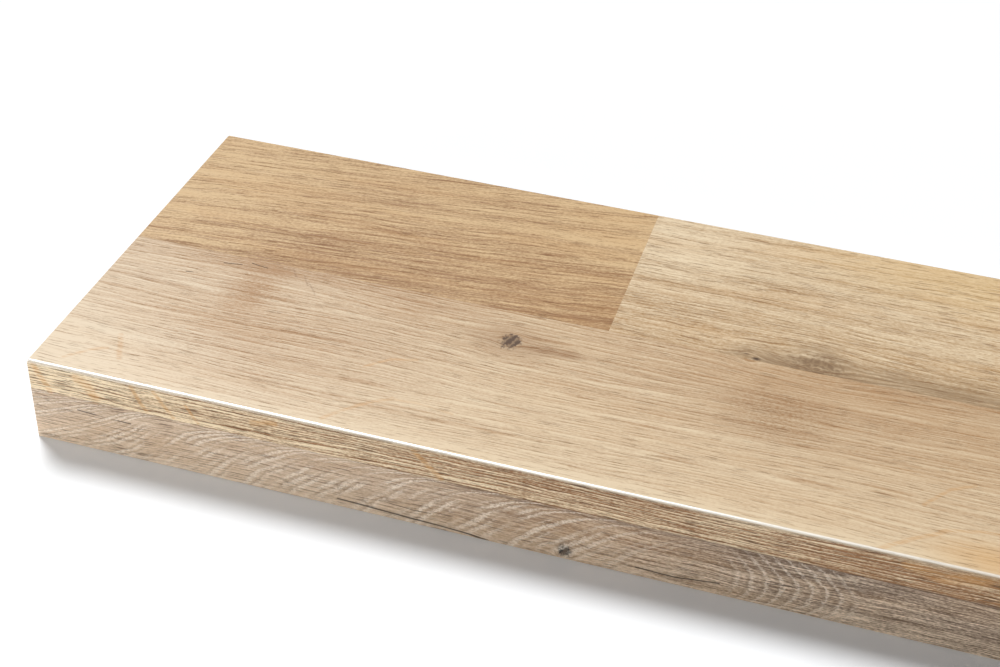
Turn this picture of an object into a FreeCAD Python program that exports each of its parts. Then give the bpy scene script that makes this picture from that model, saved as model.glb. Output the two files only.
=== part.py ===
"""A length of oak worktop: one flat board that lies on its underside.

The front edge of its top is rounded over. Its other long edges and its two
sawn ends only have a fine arris. The staves it is glued from are sanded flush,
so they have no shape of their own.

Millimetres. The origin is the middle of the underside, +X runs along the
board, +Y from its front edge to its rear edge, +Z up.
"""

import FreeCAD, Part

import os

# ---- driving dimensions ----
LENGTH = 1000.0        # along the grain, end to end
DEPTH = 200.0          # front edge to rear edge
THICKNESS = 40.0
FRONT_RADIUS = 1.8     # round along the front edge of the top
ARRIS_RADIUS = 0.5     # fine round along the other long edges and round both ends

SMALLEST_FLAT = 0.2    # what is left flat between two rounds on the thinnest face


def rounded_corner(corner, along, towards, radius):
    """The arc that rounds one corner of the section, from one side to the other.

    corner is where the sides meet, along points back down the side that comes
    first, and towards points up the side that follows.
    """
    start = corner + along * radius
    end = corner + towards * radius
    centre = corner + (along + towards) * radius
    middle = centre + (corner - centre).normalize() * radius
    return Part.Arc(start, middle, end), start, end


def section(x, front_radius, arris):
    """The board's closed outline in the plane at this x, as a face."""
    front = -DEPTH / 2
    rear = DEPTH / 2
    up = FreeCAD.Vector(0, 0, 1)
    back = FreeCAD.Vector(0, 1, 0)
    corners = [
        (FreeCAD.Vector(x, front, 0), back, up, arris),
        (FreeCAD.Vector(x, front, THICKNESS), -up, back, front_radius),
        (FreeCAD.Vector(x, rear, THICKNESS), -back, -up, arris),
        (FreeCAD.Vector(x, rear, 0), up, -back, arris),
    ]
    rounds = [rounded_corner(*corner) for corner in corners]
    edges = []
    for (arc, _, end), (_, start, _) in zip(rounds, rounds[1:] + rounds[:1]):
        edges.append(arc.toShape())
        edges.append(Part.LineSegment(end, start).toShape())
    return Part.Face(Part.Wire(edges))


def worktop():
    """The section run from end to end, then the arris round both sawn ends."""
    widest = (THICKNESS - SMALLEST_FLAT) / 2
    front_radius = min(FRONT_RADIUS, widest)
    arris = min(ARRIS_RADIUS, widest)
    board = section(-LENGTH / 2, front_radius, arris).extrude(FreeCAD.Vector(LENGTH, 0, 0))
    ends = [face for face in board.Faces if abs(abs(face.CenterOfMass.x) - LENGTH / 2) < 1e-6]
    end_edges = [edge for face in ends for edge in face.Edges]
    return board.makeFillet(arris, end_edges)


os.makedirs("parts", exist_ok=True)
worktop().exportStep("parts/worktop.step")
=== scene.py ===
"""The looks of a length of oak worktop, lying flat on a pale studio floor.

Every length in this file is in metres unless its name ends in _mm. The wood is
drawn in the board's own millimetres: "along" runs from the left end, and
"across" is unrolled from the top's rear edge, over the front edge and down the
front face, so that one pattern wraps round the rounded edge.
"""

import math

import bmesh
import bpy
from mathutils import Matrix, Vector


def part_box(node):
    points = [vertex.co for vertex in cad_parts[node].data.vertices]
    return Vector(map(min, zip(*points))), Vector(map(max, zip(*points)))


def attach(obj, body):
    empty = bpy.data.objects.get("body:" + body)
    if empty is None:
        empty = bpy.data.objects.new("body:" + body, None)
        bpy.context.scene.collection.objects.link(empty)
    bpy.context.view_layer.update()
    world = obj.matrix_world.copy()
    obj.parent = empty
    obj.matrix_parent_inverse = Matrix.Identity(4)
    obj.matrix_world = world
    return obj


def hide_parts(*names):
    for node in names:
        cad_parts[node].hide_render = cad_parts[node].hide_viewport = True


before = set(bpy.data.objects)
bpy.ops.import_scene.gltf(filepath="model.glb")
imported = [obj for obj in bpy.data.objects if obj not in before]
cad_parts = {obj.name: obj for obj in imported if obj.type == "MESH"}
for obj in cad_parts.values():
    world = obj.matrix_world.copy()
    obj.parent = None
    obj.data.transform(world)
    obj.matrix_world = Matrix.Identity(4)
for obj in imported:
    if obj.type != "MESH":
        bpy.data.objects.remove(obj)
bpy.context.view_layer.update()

MM = 0.001
LOW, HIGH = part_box("worktop")
LENGTH_MM, DEPTH_MM, THICK_MM = ((HIGH - LOW) / MM)

# ---- edges ----
FRONT_RADIUS = 1.8 * MM
ARRIS_RADIUS = 0.5 * MM

# ---- staves: where the glue lines run, in the board's millimetres ----
ROW_JOINT_MM = 99.3        # rear row to front row, on the top
FACE_JOINT_MM = 214.0      # front row to the low row, on the front face
UNDER_JOINT_MM = 138.0     # between the two low rows, on the underside and the ends
REAR_BUTT_MM = 221.8
REAR_FAR_BUTT_MM = 690.0
FRONT_BUTT_MM = 590.0
LOW_BUTT_MM = 770.0

# ---- studio ----
WORLD_LEVEL = 0.15
FLOOR_GLOW = 0.035


def srgb(red, green, blue):
    """A colour written as it looks on a screen, 0 to 255, as Blender's linear colour."""
    def linear(level):
        level /= 255
        return level / 12.92 if level <= 0.04045 else ((level + 0.055) / 1.055) ** 2.4
    return (linear(red), linear(green), linear(blue), 1.0)


# ---------------------------------------------------------------- shader maths
class Value:
    """A number inside a shader tree, so that node maths reads like plain maths."""

    def __init__(self, tree, socket):
        self.tree = tree
        self.socket = socket

    def math(self, operation, *others, swap=False):
        node = self.tree.nodes.new("ShaderNodeMath")
        node.operation = operation
        terms = [self, *others]
        if swap:
            terms.reverse()
        for term, socket in zip(terms, node.inputs):
            plug(self.tree, socket, term)
        return Value(self.tree, node.outputs[0])

    def within(self, low, high):
        return self.math("MAXIMUM", low).math("MINIMUM", high)

    def __add__(self, other):
        return self.math("ADD", other)

    def __sub__(self, other):
        return self.math("SUBTRACT", other)

    def __mul__(self, other):
        return self.math("MULTIPLY", other)

    def __truediv__(self, other):
        return self.math("DIVIDE", other)

    def __rsub__(self, other):
        return self.math("SUBTRACT", other, swap=True)

    __radd__ = __add__
    __rmul__ = __mul__


def plug(tree, socket, value):
    """Sets a socket to a number or colour, or links it to a Value or another socket."""
    if isinstance(value, Value):
        value = value.socket
    if isinstance(value, bpy.types.NodeSocket):
        tree.links.new(value, socket)
    else:
        socket.default_value = value


class Wood:
    """One wood material: its tree, and the board's own coordinates inside it."""

    def __init__(self, name):
        self.material = bpy.data.materials.new(name)
        self.material.use_nodes = True
        self.tree = self.material.node_tree
        self.tree.nodes.clear()
        place = self.node("TexCoord").outputs["Object"]
        parts = self.node("SeparateXYZ", {0: place}).outputs
        x, y, z = (Value(self.tree, part) for part in parts)
        self.along = (x - LOW.x) / MM
        self.from_rear = (HIGH.y - y) / MM
        self.below_top = (HIGH.z - z) / MM
        front_half = self.from_rear.math("GREATER_THAN", DEPTH_MM / 2)
        self.across = self.from_rear + (front_half * 2 - 1) * self.below_top

    def node(self, kind, inputs=None, **settings):
        node = self.tree.nodes.new("ShaderNode" + kind)
        for key, value in settings.items():
            setattr(node, key, value)
        for socket, value in (inputs or {}).items():
            plug(self.tree, node.inputs[socket], value)
        return node

    def noise(self, along, across, seed, long_mm, wide_mm, detail=2.0, roughness=0.5, twist=0.0):
        """Smooth noise from 0 to 1 whose spots are about long_mm by wide_mm."""
        place = self.node("CombineXYZ", {0: along / long_mm, 1: across / wide_mm, 2: seed})
        values = {"Vector": place.outputs[0], "Scale": 1.0, "Detail": detail,
                  "Roughness": roughness, "Distortion": twist}
        return Value(self.tree, self.node("TexNoise", values).outputs[0])

    def smooth(self, value, low, high, out_low=0.0, out_high=1.0):
        """Goes softly from out_low to out_high as value goes from low to high."""
        values = {0: value, 1: low, 2: high, 3: out_low, 4: out_high}
        node = self.node("MapRange", values, interpolation_type="SMOOTHSTEP")
        return Value(self.tree, node.outputs[0])

    def spot(self, along_mm, across_mm, long_mm, wide_mm, soft=1.0):
        """1 at a place on the board, fading to 0 at an ellipse round it."""
        reach = self.reach(along_mm, across_mm, long_mm, wide_mm)
        return self.smooth(reach, 1.0, 1.0 - soft)

    def reach(self, along_mm, across_mm, long_mm, wide_mm):
        """How far out a point lies, where 1 is an ellipse round that place."""
        aside = (self.along - along_mm) / long_mm
        down = (self.across - across_mm) / wide_mm
        return (aside * aside + down * down).math("SQRT")

    def mix(self, share, first, second):
        """The colour first where share is 0, second where it is 1."""
        node = self.node("Mix", data_type="RGBA", clamp_factor=True)
        plug(self.tree, node.inputs[0], share)
        plug(self.tree, node.inputs[6], first)
        plug(self.tree, node.inputs[7], second)
        return node.outputs[2]

    def pick(self, share, first, second):
        """first where share is 0, second where it is 1."""
        node = self.node("Mix", data_type="FLOAT", clamp_factor=True)
        plug(self.tree, node.inputs[0], share)
        plug(self.tree, node.inputs[2], first)
        plug(self.tree, node.inputs[3], second)
        return Value(self.tree, node.outputs[0])

    def vector(self, operation, first, second):
        node = self.node("VectorMath", {0: first, 1: second}, operation=operation)
        return node.outputs["Value" if operation in ("DOT_PRODUCT", "DISTANCE") else "Vector"]

    def past(self, value, edge):
        """1 where value is more than edge, else 0."""
        return value.math("GREATER_THAN", edge)

    def finish(self, colour, roughness, height, depth_mm, coat):
        """Lacquered wood of that colour, with its pores and fibres as bump."""
        bump = self.node("Bump", {"Height": height, "Distance": depth_mm * MM, "Strength": 1.0})
        shader = self.node("BsdfPrincipled", {
            "Base Color": colour,
            "Roughness": roughness,
            "Normal": bump.outputs[0],
            "Specular IOR Level": 0.35,
            "Coat Weight": coat,
            "Coat Roughness": 0.3,
            "Coat IOR": 2.4,
        })
        output = self.node("OutputMaterial")
        self.tree.links.new(shader.outputs[0], output.inputs["Surface"])
        return self.material


# ---------------------------------------------------------------- the wood
# Places on the skin are (along, across) in mm.
KNOTS = [
    # along, across, the half lengths of what the grain flows round, and how far the flow reaches
    (184.0, 120.7, 5.0, 4.6, 0.55),
    (311.0, 92.5, 15.0, 8.0, 1.30),
    (283.0, 97.0, 4.0, 2.6, 0.50),
    (231.6, 235.6, 5.5, 3.6, 0.50),
]
RAY_FLECKS = [
    # short strokes where a ray breaks the surface: the points each one runs through, and its width
    ([(128, 195), (139, 182), (150, 174)], 1.5),
    ([(150, 174), (162, 174), (176, 175)], 1.0),
    ([(132, 158), (141, 149), (151, 146)], 1.3),
    ([(348, 199), (361, 188), (372, 180)], 1.7),
    ([(372, 180), (384, 177), (397, 176)], 1.3),
    ([(362, 168), (371, 156), (380, 151)], 1.3),
    ([(13, 192), (21, 184), (27, 181)], 1.3),
    ([(28, 171), (35, 186)], 1.8),
    ([(3, 201.5), (9, 213)], 2.2),
    ([(22.5, 203.5), (27, 206), (30, 212)], 3.4),
    ([(47, 201.5), (53, 213)], 1.5),
    ([(57, 201.5), (65, 213)], 1.4),
    ([(71, 205), (76, 213)], 1.1),
    ([(168, 201.5), (180, 213)], 1.7),
    ([(360, 203), (374, 206), (388, 203.5)], 3.6),
    ([(100, 206), (110, 204)], 1.9),
]
CRACKS = [
    ([(136, 236.0), (164, 237.0), (188, 238.4), (200, 239.6)], 0.60),
    ([(260, 235.4), (276, 236.0), (293, 234.0)], 0.45),
]
DARK_MARKS = [
    # pitch lines, and the dashes beside a hidden knot
    ([(154, 231.6), (169, 232.6), (181, 232.2)], 0.26),
    ([(21, 220.4), (33, 221.2), (45, 221.4)], 0.42),
    ([(311, 228.2), (325, 226.0)], 0.30),
    ([(58, 102.5), (66, 104)], 0.40),
    ([(46, 106.5), (54, 105)], 0.45),
    ([(33, 118.5), (38, 117.5)], 0.45),
    ([(0.5, 218.2), (8, 218.6)], 0.45),
]
BROWN_DASHES = [
    # soft slanting dashes of a knot that lies just under the surface
    ([(77, 101), (81, 107)], 0.75),
    ([(84, 105), (88, 111)], 0.65),
    ([(87, 108), (94, 117)], 0.60),
    ([(80, 134.5), (85, 134)], 0.90),
]


def bent_grain(along, across):
    """Across, pushed aside so that the grain flows round each knot."""
    for knot_along, knot_across, half_long, half_wide, reach in KNOTS:
        aside = (along - knot_along) / half_long
        down = across - knot_across
        share = down / half_wide
        across = across - down / (aside * aside + share * share + reach)
    return across


def strokes(wood, marks, wander):
    """1 along each stroke of the list, 0 away from it."""
    place = wood.node("CombineXYZ", {0: wood.along, 1: wood.across + wander}).outputs[0]
    shade = None
    for points, width in marks:
        for start, end in zip(points, points[1:]):
            step = Vector(end) - Vector(start)
            offset = wood.vector("SUBTRACT", place, (*start, 0))
            share = Value(wood.tree, wood.vector("DOT_PRODUCT", offset, (*(step / step.length_squared), 0)))
            share = share.math("MINIMUM", 1.0).math("MAXIMUM", 0.0)
            run = wood.node("VectorMath", {0: (*step, 0), "Scale": share}, operation="SCALE").outputs[0]
            gap = Value(wood.tree, wood.vector("DISTANCE", offset, run))
            line = wood.smooth(gap, width, width * 0.25)
            shade = line if shade is None else shade.math("MAXIMUM", line)
    return shade


class Grain:
    """The patterns that one kind of face needs, each a Value from 0 to 1."""

    def __init__(self, wood, lines, number, pitch, width):
        along = wood.along
        self.band = wood.noise(along, lines, number + 21.0, 260, 7, 3.0, 0.6)
        # fine rings, closer together in some bands
        spread = wood.noise(along, lines, number + 11.1, 200, 9, 2.0) * 5.0
        ring = (lines / pitch + spread).math("FRACT")
        self.ring = wood.smooth((ring - 0.25).math("ABSOLUTE"), 0.19, 0.03)
        self.crest = wood.smooth((ring - 0.60).math("ABSOLUTE"), 0.24, 0.03)
        self.gate = wood.smooth(wood.noise(along, lines, number + 33.0, 17, 2.6, 2.0), 0.32, 0.62)
        # thin threads along the grain, the fibre between them, and a grainy mottle
        fine = lines / width
        self.streak = wood.noise(along, fine, number + 5.5, 36, 0.70, 3.0, 0.65)
        self.thread = wood.noise(along, fine, number + 7.5, 13, 0.34, 1.0, 0.55)
        self.fibre = wood.noise(along, fine, number + 9.0, 1.9, 0.42, 1.0, 0.6)
        self.mottle = wood.noise(along, lines, number + 13.0, 1.5, 0.95, 1.0, 0.6)
        self.dash = wood.noise(along, fine, number + 15.0, 11, 0.40, 1.0, 0.5)


def by_row(wood, rear, front, low):
    """A value for each row of staves."""
    return wood.pick(wood.row_low, wood.pick(wood.row_front, rear, front), low)


def colour_by_row(wood, rear, front, low):
    return wood.mix(wood.row_low, wood.mix(wood.row_front, rear, front), low)


def stave_number(wood):
    """A different number on each stave, so that no two share a pattern."""
    along = wood.along
    rear = wood.past(along, REAR_BUTT_MM) * 7.3 + wood.past(along, REAR_FAR_BUTT_MM) * 5.1
    front = wood.past(along, FRONT_BUTT_MM) * 6.7 + 31.0
    low = wood.past(along, LOW_BUTT_MM) * 8.9 + 63.0
    return by_row(wood, rear, front, low)


class Skin(Wood):
    """The wood of the top, the front face and the rear edge, with a share for each row of staves."""

    def __init__(self, name):
        super().__init__(name)
        along, across = self.along, self.across
        self.row_front = self.past(across, ROW_JOINT_MM)
        self.low_front = self.past(across, FACE_JOINT_MM)
        low_rear = self.past(1 - across, 1 + FACE_JOINT_MM - DEPTH_MM)
        self.row_low = self.low_front + low_rear
        self.number = stave_number(self)
        in_rear = 1 - self.row_front - low_rear
        self.in_front = self.row_front - self.low_front
        self.second = self.past(along, REAR_BUTT_MM)
        self.third = self.past(along, REAR_FAR_BUTT_MM)
        self.rear_left = in_rear * (1 - self.second)
        self.rear_right = in_rear * (self.second - self.third)
        self.face = self.smooth(across, 199.5, 200.8)
        self.strip = self.face - self.low_front
        self.front_top = self.in_front * (1 - self.face)
        self.joint_side = self.smooth(across, 30, 97) * self.smooth(along, 0, 90)
        self.wave = self.noise(along, across, self.number, 150, 50, 1.0) - 0.5
        self.ripple = self.noise(along, across, self.number + 3.7, 26, 9, 2.0) - 0.5


def skin_grain(wood):
    """The grain lines of each stave, which lean, drift and flow round the knots."""
    slope = wood.rear_left * 0.10 + 0.012
    flow = by_row(wood, 11.0, 9.0, 8.0) - wood.strip * 5
    lines = bent_grain(wood.along, wood.across) + wood.along * slope + wood.wave * flow
    lines = lines + wood.ripple * by_row(wood, 2.2, 1.8, 2.4)
    width = by_row(wood, 1.9 - wood.second * 0.5, 1.0, 1.0)
    pitch = by_row(wood, 3.6 - wood.second * 0.8, 2.3, 2.2) - wood.strip * 0.5
    return Grain(wood, lines, wood.number, pitch, width)


def light_tone(wood):
    """The light wood of each stave."""
    along = wood.along
    rear = wood.mix(wood.second, srgb(217, 185, 139), srgb(235, 214, 180))
    rear = wood.mix(wood.third, rear, srgb(226, 198, 154))
    # the front row's light wood is paler and greyer near the left end, a painted sheen
    front = wood.mix(wood.smooth(along, 20, 210), srgb(226, 206, 177), srgb(225, 203, 169))
    front = wood.mix(wood.past(along, FRONT_BUTT_MM), front, srgb(220, 192, 150))
    front = wood.mix(wood.strip, front, srgb(241, 218, 181))
    low = wood.mix(wood.past(along, LOW_BUTT_MM), srgb(237, 212, 184), srgb(230, 204, 168))
    return colour_by_row(wood, rear, front, low)


def dark_tone(wood):
    """The dark wood of each stave."""
    rear = wood.mix(wood.second, srgb(157, 115, 73), srgb(176, 139, 95))
    front = wood.mix(wood.strip, srgb(171, 130, 88), srgb(150, 104, 62))
    low = wood.mix(wood.smooth(wood.along, 240, 340), srgb(146, 112, 80), srgb(118, 96, 77))
    return colour_by_row(wood, rear, front, low)


def grain_shade(wood, grain):
    """How dark the threads and rings of the grain are, where 0 is light wood and 1 dark."""
    along = wood.along
    threads = (grain.streak - 0.5) * 0.95 + (grain.thread - 0.5) * 0.95
    threads = threads + (grain.fibre - 0.5) * 0.95 + (grain.mottle - 0.5) * 0.55
    rings = grain.ring * grain.gate * by_row(wood, 0.30, 0.50, 0.22)
    rings = rings - grain.crest * grain.gate * by_row(wood, 0.20, 0.42, 0.22)
    rear = 1.35 - wood.second * 0.35
    front = 0.78 - wood.smooth(along, 230, 340) * 0.16
    low = wood.smooth(along, 180, 330, 0.72, 1.45)
    contrast = by_row(wood, rear, front, low) + wood.strip * 0.68
    bands = (grain.band - 0.5) * by_row(wood, 1.0, 0.7, 0.9)
    return 0.38 + bands + contrast * (threads + rings)


def broad_tone_and_painted_light(wood, grain):
    """The wide light and dark places inside the staves, with a painted sheen on the front row's near corner
    and edge, and painted shade that darkens the front face towards the right.
    """
    along, across, strip = wood.along, wood.across, wood.strip
    in_front, low_front = wood.in_front, wood.low_front
    shade = wood.rear_left * (wood.joint_side * 0.40 - wood.spot(0, 20, 90, 110) * 0.22)
    shade = shade - wood.rear_left * wood.spot(222, 12, 60, 60) * 0.22
    shade = shade - wood.rear_right * wood.spot(232, 26, 60, 60) * 0.20
    shade = shade + wood.rear_right * wood.smooth(across, 30, 98) * 0.24
    # the front row: pale at the near corner and along the edge, a painted sheen, and darker towards the
    # middle
    corner = wood.spot(-10, 205, 130, 90)
    edge_sheen = wood.smooth(across, 189, 199) * wood.smooth(along, 0, 160, 0.3, 1.0)
    shade = shade - wood.front_top * (corner * 0.42 + wood.smooth(across, 130, 199) * 0.12)
    shade = shade - wood.front_top * edge_sheen * 0.34
    shade = shade + in_front * wood.spot(330, 112, 190, 62) * 0.27
    shade = shade + in_front * wood.spot(85, 160, 95, 50) * 0.24
    shade = shade + in_front * wood.spot(138, 106, 62, 26) * 0.30
    shade = shade + in_front * wood.spot(66, 121, 17, 32) * wood.smooth(grain.fibre, 0.1, 0.6) * 0.46
    shade = shade + in_front * wood.spot(66, 103, 62, 17) * 0.42
    dots = wood.smooth(wood.noise(along, across, 5.0, 1.5, 0.9, 1.0), 0.40, 0.66)
    shade = shade + in_front * wood.spot(300, 133, 34, 27) * (0.06 + dots * 0.36)
    # the front face: paler at its left end and darker towards the right, partly the wood's own tone and
    # partly painted light falling off from the left
    shade = shade - strip * wood.spot(0, 207, 120, 60) * 0.30
    shade = shade + strip * (wood.spot(205, 208, 70, 40) * 0.13 - wood.spot(300, 208, 34, 40) * 0.16)
    shade = shade + strip * wood.smooth(along, 322, 350) * 0.10
    shade = shade + low_front * (wood.smooth(across, 230, 217) * 0.13 - wood.smooth(across, 225, 237) * 0.12)
    shade = shade + low_front * (wood.spot(215, 221, 40, 12) * 0.12 - wood.spot(275, 234, 50, 14) * 0.07)
    # partly painted shade: the front face darkens from the left end towards the middle, as the light falls
    # off to the right, and eases back further along
    run_dark = wood.smooth(along, 40, 340) * wood.smooth(along, 600, 440)
    return shade + wood.face * run_dark * by_row(wood, 0.0, 0.37, 0.25)


def warm_drifts(wood, colour):
    """Warm drifts in the tone, golden at the far rear and orange near a cluster of flecks."""
    drift = wood.smooth(wood.noise(wood.along, wood.across, wood.number + 41.0, 90, 12, 3.0), 0.42, 0.66)
    colour = wood.mix(drift * by_row(wood, 0.16, 0.07, 0.12), colour, srgb(206, 158, 100))
    golden = wood.rear_right * wood.spot(385, 4, 130, 48, 0.9) * 0.42
    colour = wood.mix(golden, colour, srgb(226, 190, 128))
    orange = wood.in_front * wood.spot(394, 192, 40, 16, 0.9) * 0.48
    colour = wood.mix(orange, colour, srgb(214, 164, 96))
    brown = wood.in_front * wood.spot(300, 134, 36, 28) * 0.16
    return wood.mix(brown, colour, srgb(140, 116, 90))


def half_knots(wood, grain, colour):
    """The two half knots on the row joint, and the grey-brown smudge that runs on from them."""
    along, across = wood.along, wood.across
    cloud = wood.noise(along, across, 17.0, 16, 5.0, 3.0, 0.65)
    smoke = wood.smooth(across + (cloud - 0.5) * 16, 78, 98) * wood.smooth(along, 270, 292)
    smoke = smoke * wood.smooth(along, 500, 400) * wood.smooth(grain.streak, 0.20, 0.60)
    halo = wood.spot(312, 94, 30, 22, 0.9) * wood.smooth(cloud, 0.28, 0.60)
    small = wood.spot(281, 98, 13, 14, 0.9) * wood.smooth(cloud, 0.30, 0.58)
    smoke = (smoke * 0.84).math("MAXIMUM", halo * 0.92).math("MAXIMUM", small * 0.84)
    colour = wood.mix(wood.rear_right * smoke, colour, srgb(146, 118, 86))
    eye_ring = wood.reach(311, 97, 13, 9.5) + (cloud - 0.5) * 0.9 + wood.ripple * 0.5
    eye = wood.smooth((eye_ring * 2.6).math("FRACT"), 0.10, 0.42)
    eye = eye * wood.spot(310, 96, 17, 13, 0.6) * wood.smooth(grain.fibre, 0.36, 0.60)
    colour = wood.mix(wood.rear_right * eye * 0.50, colour, srgb(112, 84, 56))
    pip = wood.spot(285.5, 97.8, 2.8, 1.5, 0.9).math("MAXIMUM", wood.spot(281, 95.6, 2.2, 0.9) * 0.6)
    return wood.mix(wood.rear_right * pip, colour, srgb(72, 50, 32))


def dark_knots(wood, grain, colour):
    """The dark knot on the top with its halo and tail, and the one low on the front face."""
    along, across, ripple = wood.along, wood.across, wood.ripple
    wild = wood.noise(along, across, 2.0, 1.6, 2.4, 2.0, 0.6) - 0.5
    halo = wood.spot(185, 120, 32, 18, 0.95) * 0.46
    tail = wood.smooth(wood.reach(205, 122.2, 22, 4.2) + ripple * 1.2, 1.0, 0.2)
    tail = tail.math("MAXIMUM", wood.spot(170, 119, 12, 3.0) * 0.7) * wood.smooth(grain.thread, 0.26, 0.60)
    colour = wood.mix(halo.math("MAXIMUM", tail * 0.88), colour, srgb(146, 104, 62))
    core = wood.smooth(wood.reach(184.3, 120.6, 5.2, 6.0) + wild * 1.5, 1.02, 0.60)
    slant = (along + (across - 120) * 0.35 + wild * 3.2) / 3.6
    bars = wood.smooth(((slant + 0.42).math("FRACT") - 0.5).math("ABSOLUTE"), 0.50, 0.12)
    colour = wood.mix(core * (0.52 + bars * 0.42), colour, srgb(76, 52, 34))
    low_ring = wood.reach(231.4, 235.2, 5.6, 5.2) + wild * 0.5
    low_halo = wood.low_front * wood.smooth(low_ring, 1.0, 0.4) * 0.5
    colour = wood.mix(low_halo, colour, srgb(112, 92, 76))
    low_core = wood.smooth(wood.reach(231.4, 235.4, 3.2, 3.4) + wild * 1.3, 1.0, 0.62)
    colour = wood.mix(low_core * (0.70 + bars * 0.25), colour, srgb(40, 38, 36))
    return colour, core


def skin_pores(wood, grain, colour):
    """Dark dashes that gather in the early wood."""
    limit = 0.635 - grain.ring * 0.05 - (grain.band - 0.5) * 0.22
    limit = limit - wood.strip * 0.055 - wood.row_low * 0.02 - wood.joint_side * wood.rear_left * 0.015
    limit = limit + wood.front_top * 0.02
    pores = wood.smooth(grain.dash - limit, 0.0, 0.07)
    tone = colour_by_row(wood, srgb(128, 88, 52), srgb(134, 94, 56), srgb(92, 70, 54))
    tone = wood.mix(wood.strip, tone, srgb(96, 62, 32))
    share = by_row(wood, 0.60, 0.58, 0.66) + wood.strip * 0.20
    return wood.mix(pores * share, colour, tone), pores


def face_seam(wood, grain, colour):
    """The joint down the front face shows as a soft, broken dark line."""
    seam = wood.smooth((wood.across - FACE_JOINT_MM - 0.5).math("ABSOLUTE"), 1.6, 0.3) * wood.face
    seam = seam * wood.smooth(wood.along, 110, 190) * wood.smooth(grain.gate + grain.thread, 0.35, 1.10)
    return wood.mix(seam * 0.55, colour, srgb(92, 64, 44))


def ray_flakes(wood, colour):
    """Pale flakes on the low face: arches that lean to the right, and wavy upright arcs past the knot."""
    along, across, ripple = wood.along, wood.across, wood.ripple
    jag = wood.noise(along, across, 14.0, 1.6, 1.1, 2.0, 0.6) - 0.5
    lean = wood.smooth(along, 75, 5, 1.0, 2.4)
    over = ((across - 214) * -0.35).math("EXPONENT") * 14
    foot = along - (236 - across) * lean - over
    arch = (foot / 5.4 + ripple * 1.2 + wood.wave * 3.0 + jag * 0.7).math("FRACT")
    bundle = wood.smooth(wood.noise(foot, across, 6.0, 8, 14, 1.0), 0.40, 0.62)
    bundle = bundle * wood.smooth(along, 300, 215)
    hollow = wood.smooth((arch - 0.12).math("ABSOLUTE"), 0.30, 0.04) * bundle
    arch = wood.smooth((arch - 0.55).math("ABSOLUTE"), 0.38, 0.12) * bundle
    belly = (across - 229) * (across - 229)
    swirl = ((along + belly * 0.05 + ripple * 6.0 + jag * 4.0) / 5.6).math("FRACT")
    near = wood.spot(320, 230, 34, 30, 0.55)
    shade = wood.smooth((swirl - 0.26).math("ABSOLUTE"), 0.24, 0.04) * near
    swirl = wood.smooth((swirl - 0.52).math("ABSOLUTE"), 0.22, 0.03) * near
    broken = wood.smooth(wood.noise(along, across, 4.0, 1.4, 0.9, 2.0, 0.6), 0.38, 0.60)
    flakes = wood.low_front * (0.25 + broken * 0.75) * (arch * 0.74).math("MAXIMUM", swirl * 0.46)
    hollow = (hollow * 0.20).math("MAXIMUM", shade * 0.26)
    colour = wood.mix(wood.low_front * hollow, colour, srgb(104, 82, 64))
    return wood.mix(flakes, colour, srgb(244, 228, 208))


def flecks_and_marks(wood, grain, colour):
    """Orange ray flecks, brown dashes and dark marks."""
    wander = wood.ripple * 3.0
    worn = wood.smooth(grain.thread, 0.24, 0.56) * wood.smooth(grain.streak, 0.22, 0.52)
    flecks = strokes(wood, RAY_FLECKS, wander) * worn
    colour = wood.mix(flecks * (0.38 + wood.face * 0.16), colour, srgb(206, 150, 82))
    dashes = strokes(wood, BROWN_DASHES, wander) * wood.smooth(grain.fibre, 0.30, 0.60)
    colour = wood.mix(dashes * 0.42, colour, srgb(122, 88, 58))
    marks = strokes(wood, DARK_MARKS, wander * 0.4) * wood.smooth(grain.gate + grain.fibre, 0.40, 1.00)
    return wood.mix(marks * 0.80, colour, srgb(56, 42, 32)), marks


def painted_edge_highlight(wood, grain, colour):
    """A painted highlight: the top of the round on the front edge is painted near white, a little weaker
    towards the right.
    """
    edge_highlight = wood.smooth((wood.across - DEPTH_MM + 1.0).math("ABSOLUTE"), 1.15, 0.40)
    edge_highlight = edge_highlight * wood.smooth(wood.along, 260, 540, 0.80, 0.50)
    edge_highlight = edge_highlight * wood.smooth(grain.band, 0.25, 0.60, 0.7, 1.0)
    return wood.mix(edge_highlight, colour, srgb(255, 250, 240))


def oak_face():
    """The top, the front face and the rear edge."""
    wood = Skin("oak_face")
    grain = skin_grain(wood)
    share = grain_shade(wood, grain) + broad_tone_and_painted_light(wood, grain)
    colour = wood.mix(share.within(-0.35, 1.45), light_tone(wood), dark_tone(wood))
    colour = warm_drifts(wood, colour)
    colour = half_knots(wood, grain, colour)
    colour, core = dark_knots(wood, grain, colour)
    colour, pores = skin_pores(wood, grain, colour)
    colour = face_seam(wood, grain, colour)
    colour = ray_flakes(wood, colour)
    colour, marks = flecks_and_marks(wood, grain, colour)
    # a painted highlight along the top of the front edge's round
    colour = painted_edge_highlight(wood, grain, colour)
    cracks = strokes(wood, CRACKS, wood.ripple * 1.2)
    colour = wood.mix(cracks * 0.82, colour, srgb(48, 36, 30))

    polish = wood.smooth((wood.across - DEPTH_MM + 0.6).math("ABSOLUTE"), 1.5, 0.8)
    dug = (pores * 0.8).math("MAXIMUM", marks).math("MAXIMUM", core * 0.7).math("MAXIMUM", cracks)
    height = (grain.streak - 0.5) * 0.8 + (grain.thread - 0.5) * 0.6 - dug - grain.ring * grain.gate * 0.4
    return wood.finish(colour, 0.45 + dug * 0.25, height, 0.10, 0.05 + polish * 0.95)


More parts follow.
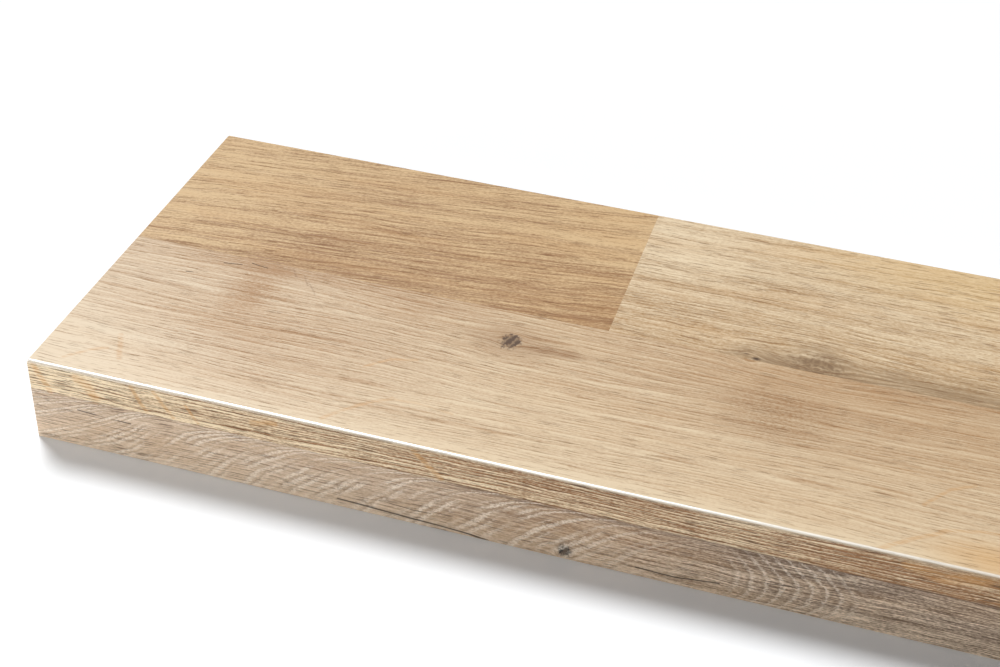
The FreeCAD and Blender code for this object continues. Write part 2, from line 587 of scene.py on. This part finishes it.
def oak_underside():
    """The underside: the same staves, plain sawn and without the polish."""
    wood = Wood("oak_underside")
    along, from_rear = wood.along, wood.from_rear
    half = wood.past(from_rear, UNDER_JOINT_MM)
    second = wood.past(along, 420.0 + half * 260.0)
    number = half * 9.0 + second * 4.3 + 101.0
    wave = wood.noise(along, from_rear, number, 170, 45, 1.5) - 0.5
    lines = from_rear + wave * 16 + along * 0.015
    grain = Grain(wood, lines, number, 2.6, 1.2)
    tone = wood.pick(half, 0.42, 0.30) + second * 0.12
    share = tone + (grain.band - 0.5) * 0.9 + (grain.streak - 0.5) * 1.2 + (grain.thread - 0.5) * 0.8
    share = share + (grain.ring - grain.crest) * grain.gate * 0.22
    colour = wood.mix(share.within(-0.2, 1.3), srgb(232, 206, 166), srgb(176, 132, 88))
    limit = 0.63 - grain.ring * 0.05 - (grain.band - 0.5) * 0.2
    pores = wood.smooth(grain.dash - limit, 0.0, 0.08)
    colour = wood.mix(pores * 0.5, colour, srgb(122, 84, 50))
    height = (grain.streak - 0.5) * 0.8 + (grain.thread - 0.5) * 0.6 - pores
    return wood.finish(colour, 0.55, height, 0.12, 0.0)


def oak_end():
    """The sawn ends: growth rings cut across, rays running through them, and the staves' joints."""
    wood = Wood("oak_end")
    from_rear, below_top = wood.from_rear, wood.below_top
    joint_side = wood.past(from_rear, ROW_JOINT_MM)
    top_layer = 1 - wood.past(below_top, FACE_JOINT_MM - DEPTH_MM)
    low_joint = wood.past(from_rear, UNDER_JOINT_MM)
    stave = joint_side * top_layer + (1 - top_layer) * (low_joint + 2)
    far = wood.past(wood.along, 500.0) * 5.0
    number = stave * 3.1 + far
    # each stave is sawn from another place in the tree, so its rings centre elsewhere
    pith_side = wood.noise(number, number * 0.7, 3.0, 1.0, 1.0, 0.0) * 260 - 130
    pith_down = wood.noise(number * 1.3, number, 9.0, 1.0, 1.0, 0.0) * 60 + 46
    aside = from_rear - 100 - pith_side
    down = below_top - 20 + pith_down * (wood.past(number.math("FRACT"), 0.5) * 2 - 1)
    wobble = (wood.noise(from_rear, below_top, number, 30, 30, 2.0) - 0.5) * 5
    out = (aside * aside + down * down).math("SQRT") + wobble
    angle = down.math("ARCTAN2", aside)
    year = (out / 2.7 + wood.noise(out, out, number, 14, 14, 0.0) * 1.5).math("FRACT")
    early = wood.smooth((year - 0.25).math("ABSOLUTE"), 0.24, 0.04)
    speckle = wood.smooth(wood.noise(from_rear, below_top, number + 5.0, 0.42, 0.42, 1.0), 0.48, 0.66)
    fibre = wood.noise(from_rear, below_top, number + 8.0, 0.9, 0.9, 3.0, 0.7)
    rays = wood.smooth(wood.noise(angle * 57.3, out, number, 0.30, 22, 1.0), 0.58, 0.70)
    tone = wood.noise(number, number, 31.0, 0.6, 0.6, 0.0) * 0.5 + 0.16
    share = tone + early * 0.16 + (fibre - 0.5) * 0.7 + early * speckle * 0.42 - rays * 0.24
    share = share + (wood.noise(from_rear, below_top, 4.0, 40, 16, 2.0) - 0.5) * 0.4
    colour = wood.mix(share.within(-0.2, 1.3), srgb(226, 196, 152), srgb(148, 104, 64))
    # faint straight marks of the saw, and the thin glue lines
    saw = wood.noise(from_rear + below_top * 0.12, below_top, 7.0, 0.9, 60, 1.0)
    colour = wood.mix(wood.smooth(saw, 0.50, 0.72) * 0.16, colour, srgb(196, 158, 112))
    glue = wood.smooth((from_rear - ROW_JOINT_MM).math("ABSOLUTE"), 0.30, 0.12) * top_layer
    under = wood.smooth((below_top - (FACE_JOINT_MM - DEPTH_MM)).math("ABSOLUTE"), 0.30, 0.12)
    low_glue = wood.smooth((from_rear - UNDER_JOINT_MM).math("ABSOLUTE"), 0.30, 0.12) * (1 - top_layer)
    glue = glue.math("MAXIMUM", under).math("MAXIMUM", low_glue)
    colour = wood.mix(glue * 0.55, colour, srgb(112, 78, 48))
    height = (fibre - 0.5) * 0.6 - early * speckle - glue + (saw - 0.5) * 0.8
    return wood.finish(colour, 0.62, height, 0.10, 0.0)


# ---------------------------------------------------------------- the board
def section_points(inset):
    """The board's outline across its length as (y, z, normal y, normal z), drawn in by inset."""
    front_radius = FRONT_RADIUS - inset
    arris = max(ARRIS_RADIUS - inset, 0.02 * MM)
    corners = [
        # the corner's two signs, its radius, its steps, and the angle its round starts at
        (-1, -1, arris, 4, 270),
        (-1, 1, front_radius, 8, 180),
        (1, 1, arris, 4, 90),
        (1, -1, arris, 4, 0),
    ]
    flats = [4, 16, 4, 16]     # faces along the flat that follows each corner
    centre = (LOW + HIGH) / 2
    half = (HIGH - LOW) / 2 - Vector((inset, inset, inset))
    rounds = []
    for side, level, radius, steps, start in corners:
        middle_y = centre.y + side * (half.y - radius)
        middle_z = centre.z + level * (half.z - radius)
        arc = []
        for step in range(steps + 1):
            angle = math.radians(start - 90 * step / steps)
            out_y, out_z = math.cos(angle), math.sin(angle)
            arc.append((middle_y + radius * out_y, middle_z + radius * out_z, out_y, out_z))
        rounds.append(arc)
    points = []
    for index, arc in enumerate(rounds):
        points += arc
        start, end = arc[-1], rounds[(index + 1) % 4][0]
        for step in range(1, flats[index]):
            share = step / flats[index]
            points.append((
                start[0] + (end[0] - start[0]) * share,
                start[1] + (end[1] - start[1]) * share,
                start[2],
                start[3],
            ))
    return points


def rings_along():
    """Each cross-section from left to right: x, inset, and how far its normal leans to the end."""
    steps = 4
    left = []
    for step in range(steps + 1):
        angle = math.radians(90 * (1 - step / steps))
        left.append((ARRIS_RADIUS * (1 - math.sin(angle)), ARRIS_RADIUS * (1 - math.cos(angle)), angle))
    middle = []
    pieces = 50
    for step in range(1, pieces):
        share = step / pieces
        middle.append((ARRIS_RADIUS + (HIGH.x - LOW.x - 2 * ARRIS_RADIUS) * share, 0.0, 0.0))
    rings = [(LOW.x + x, inset, -angle) for x, inset, angle in left + middle]
    rings += [(HIGH.x - x, inset, angle) for x, inset, angle in reversed(left)]
    return rings


def make_board(materials):
    mesh = bpy.data.meshes.new("oak_board")
    verts, normals, faces = [], [], []
    rings = rings_along()
    around = len(section_points(0.0))
    for x, inset, lean in rings:
        for y, z, normal_y, normal_z in section_points(inset):
            verts.append((x, y, z))
            flat = math.cos(lean)
            normals.append((math.sin(lean), normal_y * flat, normal_z * flat))
    for ring in range(len(rings) - 1):
        base = ring * around
        for point in range(around):
            following = (point + 1) % around
            faces.append((base + point, base + following, base + around + following, base + around + point))
    last = (len(rings) - 1) * around
    faces.append(tuple(reversed(range(around))))
    faces.append(tuple(range(last, last + around)))
    ends = {len(faces) - 2, len(faces) - 1}
    mesh.from_pydata(verts, [], faces)
    mesh.validate()
    for material in materials:
        mesh.materials.append(material)
    for polygon in mesh.polygons:
        polygon.use_smooth = True
        if polygon.index in ends:
            polygon.material_index = 2
        elif polygon.center.z < LOW.z + ARRIS_RADIUS * 0.5:
            polygon.material_index = 1
    board = bpy.data.objects.new("oak_board", mesh)
    bpy.context.collection.objects.link(board)
    work = bmesh.new()
    work.from_mesh(mesh)
    bmesh.ops.recalc_face_normals(work, faces=work.faces)
    work.to_mesh(mesh)
    work.free()
    mesh.normals_split_custom_set_from_vertices(normals)
    unwrap(mesh)
    return board


def unwrap(mesh):
    """Lays the skin out flat: two halves of the top and front, one strip of the rest, and the two ends."""
    long_mm, deep_mm, thick_mm = LENGTH_MM, DEPTH_MM, THICK_MM
    half = long_mm / 2
    strip = deep_mm + thick_mm
    scale = 0.78 / half             # share of the map per mm, for the faces that show most
    gap = 0.006
    layer = mesh.uv_layers.new(name="OFBake")
    for polygon in mesh.polygons:
        normal, centre = polygon.normal, polygon.center
        is_end = polygon.material_index == 2
        tilt = math.hypot(normal.y, normal.z)
        showing = normal.z > 0.5 * tilt or normal.y < -0.71 * tilt
        right_half = centre.x > (LOW.x + HIGH.x) / 2
        for loop in polygon.loop_indices:
            spot = mesh.vertices[mesh.loops[loop].vertex_index].co
            along = (spot.x - LOW.x) / MM
            rear = (HIGH.y - spot.y) / MM
            down = (HIGH.z - spot.z) / MM
            if is_end:
                u = gap + 0.78 + 0.02 + down * scale
                v = gap + rear * scale + (0.36 if right_half else 0.0)
            elif showing:
                unrolled = rear + (down if rear > deep_mm / 2 else -down)
                u = gap + (along - (half if right_half else 0.0)) * scale
                v = gap + (unrolled + 1) * scale + (0.39 if right_half else 0.0)
            else:
                unrolled = (deep_mm - rear) + (thick_mm - down if rear < deep_mm / 2 else down - thick_mm)
                u = gap + along * (0.98 / long_mm)
                v = 0.785 + (unrolled + 1) * (0.205 / strip)
            layer.data[loop].uv = (u, v)


# ---------------------------------------------------------------- the studio
def studio():
    """A pale floor that keeps the board's shadow, and an even white surround."""
    reach = 6.0
    mesh = bpy.data.meshes.new("floor")
    mesh.from_pydata(
        [(-reach, -reach, 0), (reach, -reach, 0), (reach, reach, 0), (-reach, reach, 0)], [], [(0, 1, 2, 3)]
    )
    floor = bpy.data.objects.new("floor", mesh)
    floor.location.z = LOW.z
    bpy.context.collection.objects.link(floor)

    material = bpy.data.materials.new("floor")
    material.use_nodes = True
    tree = material.node_tree
    shader = tree.nodes["Principled BSDF"]
    shader.inputs["Base Color"].default_value = (0.955, 0.975, 1.0, 1)
    shader.inputs["Roughness"].default_value = 0.9
    shader.inputs["Specular IOR Level"].default_value = 0.0
    seen = tree.nodes.new("ShaderNodeLightPath")
    glow = tree.nodes.new("ShaderNodeMath")
    glow.operation = "MULTIPLY"
    glow.inputs[1].default_value = FLOOR_GLOW
    tree.links.new(seen.outputs["Is Camera Ray"], glow.inputs[0])
    shader.inputs["Emission Color"].default_value = (1, 1, 1, 1)
    tree.links.new(glow.outputs[0], shader.inputs["Emission Strength"])
    mesh.materials.append(material)

    world = bpy.data.worlds.new("studio")
    bpy.context.scene.world = world
    world.use_nodes = True
    tree = world.node_tree
    background = tree.nodes["Background"]
    background.inputs["Color"].default_value = (1, 1, 1, 1)
    seen = tree.nodes.new("ShaderNodeLightPath")
    strength = tree.nodes.new("ShaderNodeMix")
    strength.inputs[2].default_value = WORLD_LEVEL
    strength.inputs[3].default_value = 1.0
    tree.links.new(seen.outputs["Is Camera Ray"], strength.inputs[0])
    tree.links.new(strength.outputs[0], background.inputs["Strength"])


def lamp(name, target, direction, distance, wide, high, radiance):
    """A soft box that faces target from that direction, wide along X."""
    data = bpy.data.lights.new(name, "AREA")
    data.shape = "RECTANGLE"
    data.size = wide
    data.size_y = high
    data.energy = radiance * wide * high * math.pi
    data.color = (0.93, 0.97, 1.0)
    light = bpy.data.objects.new(name, data)
    out = Vector(direction).normalized()
    light.location = Vector(target) + out * distance
    light.rotation_euler = facing(out)
    bpy.context.collection.objects.link(light)


def sun(name, direction, width_degrees, strength):
    """Even light from that direction, as soft as a disc of that width in the sky."""
    data = bpy.data.lights.new(name, "SUN")
    data.angle = math.radians(width_degrees)
    data.energy = strength
    light = bpy.data.objects.new(name, data)
    light.rotation_euler = facing(Vector(direction).normalized())
    bpy.context.collection.objects.link(light)


def facing(out):
    """The rotation of a lamp that stands out that way and keeps its width level."""
    side = Vector((1, 0, 0))
    side = (side - out * side.dot(out)).normalized()
    up = out.cross(side)
    return Matrix((side, up, out)).transposed().to_euler()


def camera():
    """The camera, placed from the front left top corner of the board, in board thicknesses."""
    thickness = HIGH.z - LOW.z
    corner = Vector((LOW.x, LOW.y, HIGH.z))
    heading, elevation, roll = math.radians(-15.50), math.radians(36.01), math.radians(2.38)
    look = Vector((
        math.sin(heading) * math.cos(elevation),
        math.cos(heading) * math.cos(elevation),
        -math.sin(elevation),
    ))
    level = look.cross(Vector((0, 0, 1))).normalized()
    upright = level.cross(look)
    right = level * math.cos(roll) + upright * math.sin(roll)
    up = right.cross(look)
    data = bpy.data.cameras.new("camera")
    data.lens = 60.6
    data.sensor_width = 36.0
    view = bpy.data.objects.new("camera", data)
    view.location = corner + Vector((8.337, -11.907, 10.552)) * thickness
    view.rotation_euler = Matrix((right, up, -look)).transposed().to_euler()
    bpy.context.collection.objects.link(view)
    bpy.context.scene.camera = view


board = make_board([oak_face(), oak_underside(), oak_end()])
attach(board, "root")
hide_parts("worktop")

studio()
sun("key", (-0.34, 0.40, 0.86), 22.0, 3.1)
lamp("left_fill", (LOW.x, LOW.y, HIGH.z), (-0.54, -0.80, 0.27), 0.50, 0.34, 0.20, 4.9)
lamp("front_fill", (LOW.x + 0.25, LOW.y, HIGH.z), (0.10, -0.98, 0.14), 1.3, 1.3, 0.30, 2.9)
camera()
bpy.context.scene.view_settings.view_transform = "Standard"
